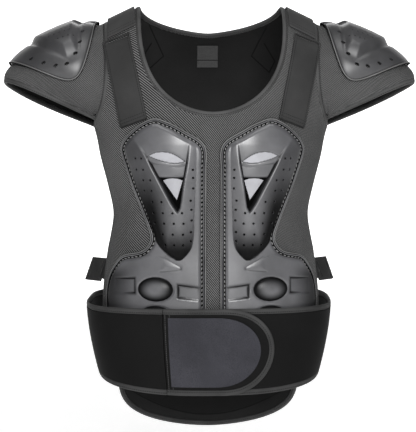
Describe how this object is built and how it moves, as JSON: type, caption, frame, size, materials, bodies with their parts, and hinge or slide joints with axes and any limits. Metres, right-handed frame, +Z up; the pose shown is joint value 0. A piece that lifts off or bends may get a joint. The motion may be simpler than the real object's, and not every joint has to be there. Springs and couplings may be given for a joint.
{
  "type": "motorcycle armour vest",
  "caption": "Short-sleeved mesh armour vest with moulded chest plates and shoulder cups, adjustable shoulder straps, buckled side straps and a wide wrap-round kidney belt.",
  "frame": {"origin": "midway between the two neck points, level with the shoulders that carry the vest when it is worn", "axes": "+X to the wearer's left, +Z up along the spine, and the wearer faces -Y"},
  "size_m": [0.6136, 0.2459, 0.6486],
  "materials": {
    "spacer_mesh": "dark grey ribbed spacer mesh with a fine diagonal grain",
    "edge_tape": "dark grey folded binding tape and corded piping",
    "armour_plastic": "satin dark grey moulded armour plastic",
    "pale_insert": "pale grey smooth insert",
    "webbing": "woven dark grey strap and smooth shoulder cloth",
    "buckle_plastic": "black moulded buckle plastic",
    "neoprene": "black brushed stretch belt fabric",
    "flap_patch": "bluish dark grey smooth closure panel",
    "label": "bare black satin label"
  },
  "bodies": {
    "root": {"front_panel": "spacer_mesh", "back_panel": "spacer_mesh", "neck_binding": "edge_tape", "edge_binding_left": "edge_tape", "edge_binding_right": "edge_tape", "sleeve_left": "spacer_mesh", "sleeve_right": "spacer_mesh", "cuff_binding_left": "edge_tape", "cuff_binding_right": "edge_tape", "shoulder_cup_left": "armour_plastic", "shoulder_cup_right": "armour_plastic", "cup_cord_left": "edge_tape", "cup_cord_right": "edge_tape", "chest_plate_left": "armour_plastic", "chest_plate_right": "armour_plastic", "chest_insert_upper_left": "pale_insert", "chest_insert_upper_right": "pale_insert", "chest_insert_lower_left": "pale_insert", "chest_insert_lower_right": "pale_insert", "chest_cord_left": "edge_tape", "chest_cord_right": "edge_tape", "belt_band": "neoprene", "belt_flap": "neoprene", "belt_binding_top": "edge_tape", "belt_binding_foot": "edge_tape", "flap_binding": "edge_tape", "flap_patch": "flap_patch", "shoulder_yoke_left": "webbing", "shoulder_yoke_right": "webbing", "strap_loop_left": "buckle_plastic", "strap_loop_right": "buckle_plastic", "hook_patch_left": "webbing", "hook_patch_right": "webbing", "shoulder_strap_left": "webbing", "shoulder_strap_right": "webbing", "side_tab_left": "webbing", "side_tab_right": "webbing", "side_web_left": "webbing", "side_web_right": "webbing", "side_buckle_left": "buckle_plastic", "side_buckle_right": "buckle_plastic", "neck_label_upper": "label", "neck_label_lower": "label"}
  },
  "joints": []
}
